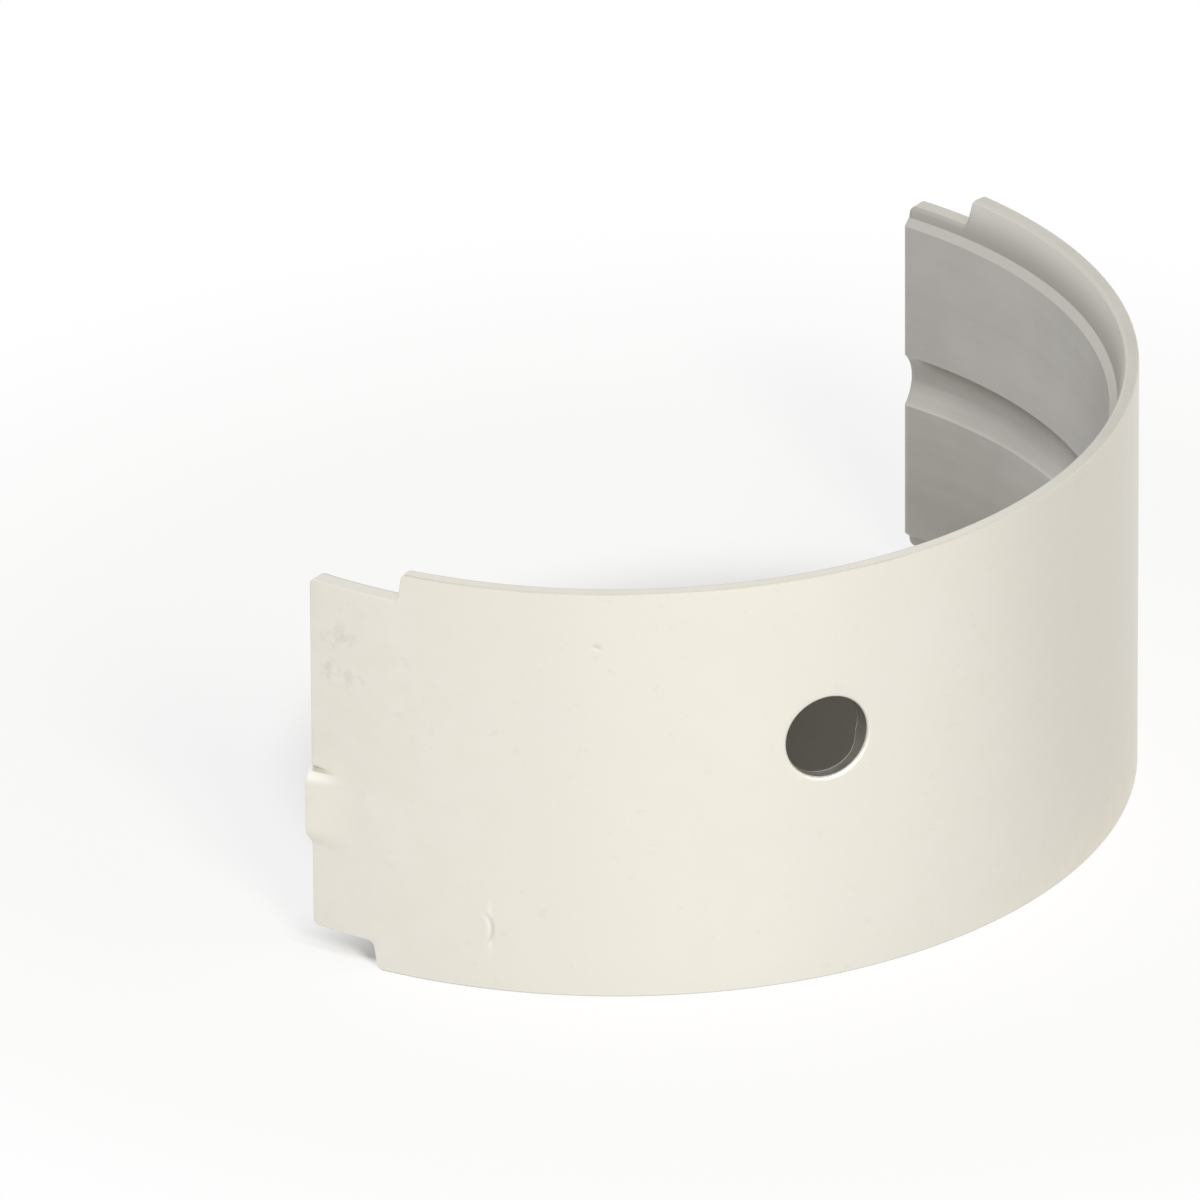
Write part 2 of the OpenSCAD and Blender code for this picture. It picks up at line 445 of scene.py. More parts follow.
def punch_hole(bm, strip):
    """Takes a square panel out of the blank and fills it up to the round oil hole."""
    reach = strip.hole_r + HOLE_MARGIN
    low = (strip.hole_u - reach, strip.hole_z - reach)
    high = (strip.hole_u + reach, strip.hole_z + reach)
    cut_lines(bm, "u", (low[0], high[0]))
    cut_lines(bm, "z", (low[1], high[1]))
    panel = [f for f in bm.faces if inside(f.calc_center_bounds(), low, high)]
    if len(panel) != 1:
        raise RuntimeError("the oil hole doesn't lie in one panel of the blank")
    sides = list(panel[0].edges)
    bmesh.ops.delete(bm, geom=panel, context="FACES_ONLY")
    bmesh.ops.subdivide_edges(bm, edges=sides, cuts=HOLE_FLATS // 4 - 1)
    around_low = (low[0] - PANEL_SLACK, low[1] - PANEL_SLACK)
    around_high = (high[0] + PANEL_SLACK, high[1] + PANEL_SLACK)
    panel_edges = [
        e for e in bm.edges
        if e.is_boundary and all(inside(v.co, around_low, around_high) for v in e.verts)]
    if len(panel_edges) != HOLE_FLATS:
        raise RuntimeError(f"the panel around the oil hole has {len(panel_edges)} edges")
    drawn = bmesh.ops.extrude_edge_only(bm, edges=panel_edges)
    for vert in drawn["geom"]:
        if isinstance(vert, bmesh.types.BMVert):
            vert.co = strip.on_hole(vert.co)


def thicken(bm, strip):
    """Gives the blank its thickness and rounds the edges of both sides."""
    bmesh.ops.recalc_face_normals(bm, faces=bm.faces[:])
    made = bmesh.ops.extrude_face_region(bm, geom=bm.faces[:])
    moved = [v for v in made["geom"] if isinstance(v, bmesh.types.BMVert)]
    bmesh.ops.translate(bm, verts=moved, vec=(0, strip.wall, 0))
    bmesh.ops.recalc_face_normals(bm, faces=bm.faces[:])
    hole_reach = strip.hole_r + HOLE_EDGE_REACH
    rounds = (
        (0, False, strip.back_round), (0, True, strip.hole_round),
        (strip.wall, False, strip.bore_round), (strip.wall, True, strip.bore_round))
    for depth, at_hole, offset in rounds:
        edges = [
            e for e in bm.edges
            if all(abs(v.co.y - depth) < NEAR for v in e.verts) and e.calc_face_angle(0) > FLAT_CORNER
            and all(strip.from_hole(v.co.x, v.co.z) < hole_reach for v in e.verts) == at_hole]
        bmesh.ops.bevel(
            bm, geom=edges, affect="EDGES", offset=offset, offset_type="OFFSET",
            segments=EDGE_FLATS, profile=0.5, material=-1, clamp_overlap=True)


def mark_finishes(bm, strip):
    """Names the finish of each face while the strip is still flat."""
    for face in bm.faces:
        depths = [v.co.y for v in face.verts]
        if max(depths) < strip.hole_round + NEAR:
            face.material_index = BACK
        elif min(depths) > strip.wall - strip.bore_round - NEAR:
            face.material_index = BORE
        else:
            middle = face.calc_center_median()
            away = strip.from_hole(middle.x, middle.z)
            face.material_index = HOLE if away < strip.hole_r + 2 * strip.hole_round else EDGE


def cut_for_rolling(bm, strip):
    """Cuts the lines that the strip bends along, with fine ones at the tang, the nick and the pit."""
    for height in (strip.ledge_z, strip.taper_z):
        cut_lines(bm, "z", (-height, height))
    half = GROOVE_FLATS // 2
    turns = [math.pi * i / GROOVE_FLATS for i in range(-half, half + 1)]
    cut_lines(bm, "z", [strip.groove_half * math.sin(turn) for turn in turns])
    cut_tang_lines(bm, strip)
    nick_middle = (NICK_CENTRE[0] + NICK_RADIUS, NICK_CENTRE[1])
    cut_window(bm, nick_middle, *NICK_GRID)
    cut_window(bm, PIT_CENTRE, *PIT_GRID)
    cut_lines(bm, "u", spaced(-strip.end_u, strip.end_u, 2 * strip.end_u / strip.steps)[1:-1])


def cut_tang_lines(bm, strip):
    """Cuts the lines that the tang, its torn side, its slope and its pocket bend along."""
    root_u = -strip.end_u + TANG_ZONE
    foot_z = strip.tang_low - strip.run_out
    low = (-strip.end_u - TANG_OVER_END, foot_z - TANG_BELOW)
    high = (root_u, strip.tang_top + TANG_ABOVE)
    cut_lines(bm, "u", [root_u])
    cut_lines(bm, "z", [low[1], high[1]])
    cut_lines(bm, "u", [-strip.end_u + s for s in spaced(*TANG_LINES)], (low, high))
    drawn = [strip.tang_top - t for t in DRAWN_LINES]
    torn = [strip.tang_top + SHEAR + TEAR_WIDTH * t for t in TORN_LINES]
    pocket = [strip.tang_low + t for t in POCKET_LINES]
    slope = spaced(foot_z - SLOPE_BELOW, strip.tang_low + SLOPE_ABOVE, SLOPE_LINES)
    face = spaced(strip.tang_low + FACE_FROM, strip.tang_top - FACE_TO, FACE_LINES)
    cut_lines(bm, "z", drawn + torn + pocket + slope + face, (low, high))


def cut_window(bm, centre, reach, step):
    """Cuts a fine grid around one mark."""
    low = (centre[0] - reach, centre[1] - reach)
    high = (centre[0] + reach, centre[1] + reach)
    cut_lines(bm, "u", (low[0], high[0]))
    cut_lines(bm, "z", (low[1], high[1]))
    cut_lines(bm, "u", spaced(low[0], high[0], step)[1:-1], (low, high))
    cut_lines(bm, "z", spaced(low[1], high[1], step)[1:-1], (low, high))


def roll(bm, strip):
    """Joins the seams of the strip, in the same order each time, and rolls it round."""
    in_order = sorted(bm.verts, key=lambda vert: vert.co[:])
    bmesh.ops.remove_doubles(bm, verts=in_order, dist=SEAM)
    for vert in bm.verts:
        vert.co = strip.rolled(vert.co.x, vert.co.y, vert.co.z)
    bmesh.ops.recalc_face_normals(bm, faces=bm.faces[:])
    for face in bm.faces:
        face.smooth = True
    for edge in bm.edges:
        edge.smooth = edge.calc_face_angle(0) < SHARP_ANGLE


# Shader nodes: kinds of a group's sockets, and the places of the colour sockets on a Mix node
VALUE, VECTOR = "NodeSocketFloat", "NodeSocketVector"
MIX_FACTOR, MIX_A, MIX_B, MIX_RESULT = 0, 6, 7, 2
# Most of a noise lies between these values, and a soft spot is full up to this share of its size
NOISE_LOW, NOISE_HIGH = 0.25, 0.75
SPOT_CORE = 0.1


def rgba(value):
    """A colour with full opacity."""
    return (*value, 1.0)


def put(tree, kind, **settings):
    """Adds a node and sets its options."""
    node = tree.nodes.new(kind)
    for name, value in settings.items():
        setattr(node, name, value)
    return node


def feed(tree, socket, value):
    """Links a socket to another one, or sets its value."""
    if isinstance(value, bpy.types.NodeSocket):
        tree.links.new(value, socket)
    else:
        socket.default_value = value


def calc(tree, operation, *values, clamp=False):
    """A Math node's result."""
    node = put(tree, "ShaderNodeMath", operation=operation, use_clamp=clamp)
    for socket, value in zip(node.inputs, values):
        feed(tree, socket, value)
    return node.outputs[0]


def times(tree, first, *others):
    """Product of two or more values."""
    for other in others:
        first = calc(tree, "MULTIPLY", first, other)
    return first


def largest(tree, first, *others):
    """Largest of two or more values."""
    for other in others:
        first = calc(tree, "MAXIMUM", first, other)
    return first


def weighted(tree, *pairs, start=0.0, clamp=False):
    """Sum of values, each times its own share, on top of a starting value."""
    total = start
    for place, (value, weight) in enumerate(pairs, 1):
        last = place == len(pairs)
        total = calc(tree, "MULTIPLY_ADD", value, weight, total, clamp=clamp and last)
    return total


def reach_of(tree, a, b):
    """Distance covered by two steps at right angles."""
    return calc(tree, "SQRT", calc(tree, "ADD", times(tree, a, a), times(tree, b, b)))


def ranged(tree, value, from_min, from_max, to_min=0.0, to_max=1.0):
    """A value carried smoothly from one range to another."""
    node = put(tree, "ShaderNodeMapRange", interpolation_type="SMOOTHSTEP")
    for socket, number in zip(node.inputs, (value, from_min, from_max, to_min, to_max)):
        feed(tree, socket, number)
    return node.outputs[0]


def mixed(tree, factor, a, b):
    """Two colours mixed by a factor."""
    node = put(tree, "ShaderNodeMix", data_type="RGBA")
    feed(tree, node.inputs[MIX_FACTOR], factor)
    feed(tree, node.inputs[MIX_A], a)
    feed(tree, node.inputs[MIX_B], b)
    return node.outputs[MIX_RESULT]


def joined(tree, x, y, z):
    """A vector from three values."""
    node = put(tree, "ShaderNodeCombineXYZ")
    for socket, value in zip(node.inputs, (x, y, z)):
        feed(tree, socket, value)
    return node.outputs[0]


def split(tree, vector):
    """The three values of a vector."""
    node = put(tree, "ShaderNodeSeparateXYZ")
    feed(tree, node.inputs[0], vector)
    return node.outputs


def noise(tree, vector, detail, roughness):
    """Noise from 0 to 1, with one feature to each unit of the vector."""
    node = put(tree, "ShaderNodeTexNoise")
    feed(tree, node.inputs["Vector"], vector)
    node.inputs["Scale"].default_value = 1.0
    node.inputs["Detail"].default_value = detail
    node.inputs["Roughness"].default_value = roughness
    return node.outputs[0]


def new_group(name, inputs, outputs):
    """An empty shader node group with named sockets, and its input and output nodes."""
    tree = bpy.data.node_groups.new(name, "ShaderNodeTree")
    for label, kind in inputs:
        tree.interface.new_socket(name=label, in_out="INPUT", socket_type=kind)
    for label, kind in outputs:
        tree.interface.new_socket(name=label, in_out="OUTPUT", socket_type=kind)
    return tree, put(tree, "NodeGroupInput"), put(tree, "NodeGroupOutput")


def numbers(*labels):
    """Sockets of a group that hold one number each."""
    return [(label, VALUE) for label in labels]


def placed(tree, group, **inputs):
    """Places a group in a material and feeds its inputs, whose names are given with _ for a space."""
    node = put(tree, "ShaderNodeGroup", node_tree=group)
    for label, value in inputs.items():
        feed(tree, node.inputs[label.replace("_", " ")], value)
    return node


def coordinates_group(strip):
    """Unrolls a point of the shell: millimetres around the back, along the axis, and its radius."""
    tree, entry, exit_ = new_group(
        "unrolled_shell", [("Point", VECTOR)], [("Flat", VECTOR), *numbers("Around", "Along", "Radius")])
    x, y, z = split(tree, entry.outputs["Point"])
    turn = calc(tree, "ARCTAN2", x, times(tree, y, -1.0))
    around = times(tree, turn, strip.back_r)
    along = calc(tree, "DIVIDE", z, MM)
    radius = calc(tree, "DIVIDE", reach_of(tree, x, y), MM)
    for label, value in (("Around", around), ("Along", along), ("Radius", radius)):
        feed(tree, exit_.inputs[label], value)
    feed(tree, exit_.inputs["Flat"], joined(tree, around, along, radius))
    return tree


def lines_group():
    """Fine tool or rolling lines: long in one direction, closely spaced in the other."""
    tree, entry, exit_ = new_group(
        "tool_lines", numbers("Lengthwise", "Crosswise", "Length", "Spacing"), numbers("Tone"))
    lengthwise = calc(tree, "DIVIDE", entry.outputs["Lengthwise"], entry.outputs["Length"])
    crosswise = calc(tree, "DIVIDE", entry.outputs["Crosswise"], entry.outputs["Spacing"])
    tone = noise(tree, joined(tree, lengthwise, crosswise, 0.0), detail=3.0, roughness=0.6)
    feed(tree, exit_.inputs["Tone"], tone)
    return tree


def clouds_group():
    """Soft clouds of tone over the flat strip, and a fine grain for the bump."""
    tree, entry, exit_ = new_group(
        "clouds_and_grain", [("Flat", VECTOR), *numbers("Cloud Size", "Grain Size")],
        numbers("Clouds", "Grain"))
    for label, size, detail in (("Clouds", "Cloud Size", 3.0), ("Grain", "Grain Size", 2.0)):
        scaled = put(tree, "ShaderNodeVectorMath", operation="SCALE")
        feed(tree, scaled.inputs[0], entry.outputs["Flat"])
        feed(tree, scaled.inputs["Scale"], calc(tree, "DIVIDE", 1.0, entry.outputs[size]))
        tone = noise(tree, scaled.outputs[0], detail, roughness=0.55)
        feed(tree, exit_.inputs[label], ranged(tree, tone, NOISE_LOW, NOISE_HIGH))
    return tree


def band_group():
    """A band between two values, with soft sides."""
    tree, entry, exit_ = new_group(
        "soft_band", numbers("Value", "Low", "High", "Softness"), numbers("Mask"))
    value, low, high, softness = entry.outputs[:4]
    rise = ranged(tree, value, calc(tree, "SUBTRACT", low, softness), calc(tree, "ADD", low, softness))
    fall = ranged(tree, value, calc(tree, "ADD", high, softness), calc(tree, "SUBTRACT", high, softness))
    feed(tree, exit_.inputs["Mask"], times(tree, rise, fall))
    return tree


def spot_group():
    """A soft round spot at one place of the flat strip."""
    tree, entry, exit_ = new_group(
        "soft_spot", numbers("Around", "Along", "At Around", "At Along", "Size"), numbers("Mask"))
    du = calc(tree, "SUBTRACT", entry.outputs["Around"], entry.outputs["At Around"])
    dz = calc(tree, "SUBTRACT", entry.outputs["Along"], entry.outputs["At Along"])
    share_out = calc(tree, "DIVIDE", reach_of(tree, du, dz), entry.outputs["Size"])
    feed(tree, exit_.inputs["Mask"], ranged(tree, share_out, SPOT_CORE, 1.0, 1.0, 0.0))
    return tree


class Finish:
    """A metal material that is being made, with the shell's unrolled coordinates at hand."""

    def __init__(self, name, groups, roughness):
        self.material = bpy.data.materials.new(name)
        self.material.use_nodes = True
        self.tree = self.material.node_tree
        self.shader = self.tree.nodes["Principled BSDF"]
        self.shader.inputs["Metallic"].default_value = 1.0
        self.shader.inputs["Roughness"].default_value = roughness
        self.groups = groups
        point = put(self.tree, "ShaderNodeTexCoord").outputs["Object"]
        at = placed(self.tree, groups["coordinates"], Point=point)
        self.flat = at.outputs["Flat"]
        self.around = at.outputs["Around"]
        self.along = at.outputs["Along"]
        self.radius = at.outputs["Radius"]

    def lines(self, lengthwise, crosswise, length_mm, spacing_mm):
        """Tone of fine lines of a length and spacing."""
        node = placed(
            self.tree, self.groups["lines"], Lengthwise=lengthwise, Crosswise=crosswise,
            Length=length_mm, Spacing=spacing_mm)
        return node.outputs["Tone"]

    def clouds(self, cloud_mm, grain_mm):
        """Clouds of one size and grain of another."""
        node = placed(
            self.tree, self.groups["clouds"], Flat=self.flat, Cloud_Size=cloud_mm, Grain_Size=grain_mm)
        return node.outputs["Clouds"], node.outputs["Grain"]

    def band(self, value, low, high, softness):
        """Mask of a band between two values."""
        node = placed(self.tree, self.groups["band"], Value=value, Low=low, High=high, Softness=softness)
        return node.outputs["Mask"]

    def spot(self, u, z, size):
        """Mask of a round spot at a place of the flat strip."""
        node = placed(
            self.tree, self.groups["spot"], Around=self.around, Along=self.along,
            At_Around=u, At_Along=z, Size=size)
        return node.outputs["Mask"]

    def done(self, base, roughness, height, distance_mm):
        """Links what was made to the shader."""
        feed(self.tree, self.shader.inputs["Base Color"], base)
        feed(self.tree, self.shader.inputs["Roughness"], roughness)
        bump = put(self.tree, "ShaderNodeBump")
        bump.inputs["Strength"].default_value = 1.0
        bump.inputs["Distance"].default_value = distance_mm * MM
        feed(self.tree, bump.inputs["Height"], height)
        feed(self.tree, self.shader.inputs["Normal"], bump.outputs[0])
        return self.material


# Handling stains on the back: places and sizes in millimetres on the flat strip, and how they show
STAINS = ((-71.0, 12.7, 2.3), (-72.6, 11.9, 1.3), (-72.2, 8.8, 1.9), (-70.2, 8.5, 1.9))
STAIN_SHARE = 0.24
STAIN_CORE = 0.4
RAGGED_FROM = 0.55
RAGGED_TO = 1.35
# Faint specks all over the back
SPECK_FROM = 0.9
SPECK_SHARE = 0.08
# Painted highlight on the nick's side that faces the lamp, in millimetres on the flat strip, with the
# softness of its sides and ends
NICK_HIGHLIGHT_AROUND = (-56.9, -56.5, 0.15)
NICK_HIGHLIGHT_ALONG = (-16.4, -11.6, 1.0)
NICK_HIGHLIGHT_SHARE = 0.3
# Painted highlight on the tang's upper side, which turns up to the light, in millimetres below it and from
# the parting face
HIGHLIGHT_FROM = 1.5 * ROLLOVER_WIDTH
HIGHLIGHT_FULL = 0.2
HIGHLIGHT_END = 0.6
HIGHLIGHT_SHARE = 0.6
# Painted shade in the torn line above the tang, on the nick's side turned away from the lamp, and in the
# pit
TORN_SHARE = 0.6
NICK_SHARE = 0.35
NICK_DARK_HALF = 0.75 * NICK_HALF
NICK_DARK_SOFT = 0.25 * NICK_HALF
PIT_SHARE = 0.16
PIT_DARK = 2.5 * PIT_RADIUS
# The broken edges of the rims are rougher than the back and carry painted shade that damps the lamp's
# highlight on them, with a soft start in millimetres
RIM_EDGE_SHADE = 0.75
RIM_EDGE_ROUGHENING = 0.45
RIM_EDGE_BELOW = 0.04
RIM_EDGE_ABOVE = 0.03
# Inside: share of the groove's half width that takes its painted shade in full, and how softly ledges and
# corners start, in millimetres
GROOVE_SHADE_SHARE = 0.86
LEDGE_SOFT = 0.03
CORNER_BELOW = 0.02
CORNER_ABOVE = 0.05
# The bore's round at the rim turns into cut metal, in full from this share of the round below its top
RIM_ROUND_SHARE = 0.3
# The parting faces' own tool lines fade out below the floors of the cuts, in millimetres
PARTING_LINES_END = 0.2
PARTING_LINES_FULL = 0.6
# Painted light: the rims are painted brighter from the tang end to about the crown, and their tool lines
# less so:
# end and start of the change, in millimetres around the back, and the share that the lines lose
RIM_LIGHT_FROM = 22.0
RIM_LIGHT_TO = -18.0
RIM_LIGHT_LINES = 0.3
# Uneven roughness of each finish: how far it starts below the written value, and how much its tone adds
FLASH_ROUGHNESS = (0.05, 0.10)
LINING_ROUGHNESS = (0.04, 0.14)
EDGE_ROUGHNESS = (0.10, 0.15)
HOLE_ROUGHNESS = (0.06, 0.18)


def uneven(tree, written, tone, below, added):
    """Roughness that a tone makes uneven around its written value."""
    return weighted(tree, (tone, added), start=written - below)


def stain_mask(f):
    """Ragged handling stains near the tang end, and faint specks all over."""
    tree = f.tree
    stained = largest(tree, *(f.spot(*stain_and_shade) for stain_and_shade in STAINS))
    blots, smears = f.clouds(cloud_mm=1.3, grain_mm=0.8)
    ragged = ranged(tree, weighted(tree, (smears, 0.9), (stained, 0.6)), RAGGED_FROM, RAGGED_TO)
    stains = times(tree, ragged, ranged(tree, stained, 0.0, STAIN_CORE), STAIN_SHARE)
    specks = times(tree, ranged(tree, blots, SPECK_FROM, 1.0), SPECK_SHARE)
    return largest(tree, stains, specks)


def painted_highlight_mask(f, strip):
    """Painted highlights: on the tang's sheared upper side, which turns up to the light, and on the nick's
    side that faces the lamp.
    """
    tree = f.tree
    top = strip.tang_top
    s = calc(tree, "ADD", f.around, strip.end_u)
    # Painted highlight on the tang's upper side, where it turns up to the light
    drawn = ranged(tree, f.along, top - HIGHLIGHT_FROM, top - HIGHLIGHT_FULL)
    sheared = times(tree, drawn, ranged(tree, f.along, top + SHEAR / 2, top))
    tang = times(tree, sheared, ranged(tree, s, strip.tang_len, HIGHLIGHT_END), HIGHLIGHT_SHARE)
    # Painted highlight on the nick's side that faces the lamp
    nick_highlight = times(tree, f.band(f.around, *NICK_HIGHLIGHT_AROUND), f.band(f.along, *NICK_HIGHLIGHT_ALONG), NICK_HIGHLIGHT_SHARE)
    return largest(tree, tang, nick_highlight)


def nick_mask(f):
    """Where painted shade lies along the curved nick, on its side turned away from the lamp."""
    tree = f.tree
    du = calc(tree, "SUBTRACT", f.around, NICK_CENTRE[0])
    dz = calc(tree, "SUBTRACT", f.along, NICK_CENTRE[1])
    across = f.band(reach_of(tree, du, dz), NICK_RADIUS, NICK_RADIUS + NICK_WIDTH, NICK_WIDTH)
    along = f.band(dz, -NICK_DARK_HALF, NICK_DARK_HALF, NICK_DARK_SOFT)
    return times(tree, across, along, calc(tree, "GREATER_THAN", du, 0.0))


def painted_shade_mask(f, strip):
    """Painted shade: on the nick's side turned away from the lamp, in the torn line above the tang and in
    the pit.
    """
    tree = f.tree
    top = strip.tang_top
    s = calc(tree, "ADD", f.around, strip.end_u)
    torn = times(
        tree, ranged(tree, f.along, top, top + SHEAR / 2),
        ranged(tree, f.along, top + SHEAR + TEAR_WIDTH, top + SHEAR), ranged(tree, s, TEAR_END, TEAR_START))
    nick = times(tree, nick_mask(f), NICK_SHARE)
    pit = times(tree, f.spot(*PIT_CENTRE, PIT_DARK), PIT_SHARE)
    return largest(tree, nick, times(tree, torn, TORN_SHARE), pit)


def flash_material(groups, finish, strip):
    """Pale metal flash on the back: soft clouds, faint rolling lines, stains, the marks of pressing, and
    painted highlights and painted shade on the tang, the nick, the pit and the rim edges.
    """
    f = Finish("pale_metal_flash", groups, finish.roughness)
    tree = f.tree
    clouds, grain = f.clouds(cloud_mm=11.0, grain_mm=0.22)
    patches, speckle = f.clouds(cloud_mm=3.2, grain_mm=0.7)
    rolling = f.lines(f.around, f.along, length_mm=26.0, spacing_mm=0.35)
    dull = weighted(tree, (clouds, 0.5), (patches, 0.5), (rolling, 0.15), clamp=True)
    base = mixed(tree, dull, rgba(finish.flash), rgba(finish.flash_dull))
    base = mixed(tree, stain_mask(f), base, rgba(finish.stain_and_shade))
    base = mixed(tree, painted_highlight_mask(f, strip), base, rgba(finish.painted_highlight))
    # Painted shade in the torn line, on the nick's shaded side and in the pit
    base = mixed(tree, painted_shade_mask(f, strip), base, rgba(finish.painted_shade))
    edge_z = strip.half_w - strip.back_round
    height_z = calc(tree, "ABSOLUTE", f.along)
    # Painted shade: the rounded rim edges are darkened towards the stain colour to damp the lamp's
    # highlight on them, and made rougher
    rim_painted_tone = ranged(tree, height_z, edge_z - RIM_EDGE_BELOW, edge_z + RIM_EDGE_ABOVE)
    base = mixed(tree, times(tree, rim_painted_tone, RIM_EDGE_SHADE), base, rgba(finish.stain_and_shade))
    roughness = uneven(tree, finish.roughness, dull, *FLASH_ROUGHNESS)
    roughness = weighted(tree, (rim_painted_tone, RIM_EDGE_ROUGHENING), start=roughness)
    height = weighted(tree, (grain, 0.5), (rolling, 0.5), (speckle, 0.4))
    return f.done(base, roughness, height, distance_mm=0.006)


def lining_material(groups, finish, strip):
    """Bored running surface: fine turning lines, painted shade in the groove, bright ledges, and painted
    shade in the corner above each ledge that fades out up the relief.
    """
    f = Finish("bored_lining", groups, finish.lining_roughness)
    tree = f.tree
    clouds, grain = f.clouds(cloud_mm=8.0, grain_mm=0.2)
    turning = f.lines(f.around, f.along, length_mm=60.0, spacing_mm=0.16)
    bands = f.lines(f.around, f.along, length_mm=90.0, spacing_mm=1.6)
    height_z = calc(tree, "ABSOLUTE", f.along)
    # Painted shade: the groove is darker, and through the tone also rougher
    groove = ranged(tree, height_z, strip.groove_half, strip.groove_half * GROOVE_SHADE_SHARE)
    tone = weighted(tree, (turning, 0.35), (bands, 0.35), (clouds, 0.2), (groove, 0.3), clamp=True)
    base = mixed(tree, tone, rgba(finish.lining), rgba(finish.lining_dark))
    ledge = f.band(height_z, strip.ledge_z, strip.taper_z, LEDGE_SOFT)
    base = mixed(tree, ledge, base, rgba(finish.ledge))
    # Painted shade: each relief darkens from its top down to the corner above the ledge
    up = ranged(tree, height_z, strip.taper_z, strip.half_w)
    relief = mixed(tree, up, rgba(finish.corner_painted_shade), rgba(finish.relief))
    in_relief = ranged(tree, height_z, strip.taper_z - CORNER_BELOW, strip.taper_z + CORNER_ABOVE)
    base = mixed(tree, in_relief, base, relief)
    round_foot = strip.half_w - strip.bore_round
    at_rim = ranged(tree, height_z, round_foot, strip.half_w - RIM_ROUND_SHARE * strip.bore_round)
    base = mixed(tree, at_rim, base, rgba(finish.cut_metal))
    roughness = uneven(tree, finish.lining_roughness, tone, *LINING_ROUGHNESS)
    height = weighted(tree, (turning, 1.0), (grain, 0.25))
    return f.done(base, roughness, height, distance_mm=0.008)


def edge_material(groups, finish, strip):
    """Machined rims, parting faces and cut floors: fine tool lines across the wall, and painted light on
    the rims towards the tang end.
    """
    f = Finish("machined_edge", groups, finish.roughness)
    tree = f.tree
    clouds, grain = f.clouds(cloud_mm=5.0, grain_mm=0.15)
    tool = f.lines(f.radius, f.around, length_mm=8.0, spacing_mm=0.22)
    height_z = calc(tree, "ABSOLUTE", f.along)
    fade_end, fade_start = strip.floor_z - PARTING_LINES_END, strip.floor_z - PARTING_LINES_FULL
    on_face = ranged(tree, height_z, fade_end, fade_start)
    face = times(tree, f.lines(f.radius, f.along, length_mm=8.0, spacing_mm=0.22), on_face)
    tone = weighted(tree, (tool, 0.35), (face, 0.35), (clouds, 0.3), clamp=True)
    base = mixed(tree, tone, rgba(finish.cut_metal), rgba(finish.cut_dark))
    # Painted light: the rims are brighter from the tang end to about the crown
    rim_painted_tone = weighted(tree, (tone, -RIM_LIGHT_LINES), start=ranged(tree, f.around, RIM_LIGHT_FROM, RIM_LIGHT_TO))
    base = mixed(tree, largest(tree, rim_painted_tone, 0.0), base, rgba(finish.cut_painted_light))
    roughness = uneven(tree, finish.roughness, tone, *EDGE_ROUGHNESS)
    height = weighted(tree, (tool, 1.0), (face, 1.0), (grain, 0.4))
    return f.done(base, roughness, height, distance_mm=0.006)


def hole_material(groups, finish):
    """Wall of the oil hole: punched steel with streaks along the hole, both in dark colours that are
    painted shade in the hole.
    """
    f = Finish("punched_hole_wall", groups, finish.roughness)
    tree = f.tree
    clouds, grain = f.clouds(cloud_mm=1.6, grain_mm=0.12)
    streak_z = f.lines(f.radius, f.along, length_mm=4.0, spacing_mm=0.16)
    streak_u = f.lines(f.radius, f.around, length_mm=4.0, spacing_mm=0.16)
    tone = weighted(tree, (streak_z, 0.4), (streak_u, 0.4), (clouds, 0.35), clamp=True)
    base = mixed(tree, tone, rgba(finish.hole_steel_and_shade), rgba(finish.hole_dark))
    roughness = uneven(tree, finish.roughness, tone, *HOLE_ROUGHNESS)
    height = weighted(tree, (streak_z, 1.0), (streak_u, 1.0), (grain, 0.5))
    return f.done(base, roughness, height, distance_mm=0.012)


class SHELL_OT_build(bpy.types.Operator):
    """Cut the blank, roll it into the half shell and finish its metal"""

    bl_idname = "mesh.bearing_shell_build"
    bl_label = "Build bearing shell"

    def execute(self, context):
        strip = Strip(context.scene.shell_sizes)
        finish = context.scene.shell_finish
        bm = cut_blank(strip)
        thicken(bm, strip)
        mark_finishes(bm, strip)
        cut_for_rolling(bm, strip)
        roll(bm, strip)
        open_edges = [e for e in bm.edges if not e.is_manifold]
        if open_edges:
            raise RuntimeError(f"the rolled shell has {len(open_edges)} edges that aren't closed")
        mesh = bpy.data.meshes.new("rolled_shell")
        bm.to_mesh(mesh)
        bm.free()
        groups = {
            "coordinates": coordinates_group(strip), "lines": lines_group(),
            "clouds": clouds_group(), "spot": spot_group(), "band": band_group(),
        }
        mesh.materials.append(flash_material(groups, finish, strip))
        mesh.materials.append(lining_material(groups, finish, strip))
        mesh.materials.append(edge_material(groups, finish, strip))
        mesh.materials.append(hole_material(groups, finish))
        shell = bpy.data.objects.new("rolled_shell", mesh)
        context.scene.collection.objects.link(shell)
        shell.modifiers.new("flat_beside_rounds", "WEIGHTED_NORMAL").keep_sharp = True
        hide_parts(NODE)
        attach(shell, BODY)
        return {"FINISHED"}


# Camera: direction from the shell, roll, and the picture's middle from the bore's, in back radii
VIEW_TURN = math.radians(53.8)
VIEW_RISE = math.radians(27.03)
VIEW_ROLL = math.radians(-0.33)
AIM_RIGHT = -0.0388
AIM_UP = -0.0817
SENSOR_MM = 36.0
CLIP_START = 0.01
CLIP_END = 100.0
# Floor: a wide disc just below the shell, in metres
FLOOR_RADIUS = 4.0
FLOOR_SIDES = 96
FLOOR_GAP = 0.02 * MM
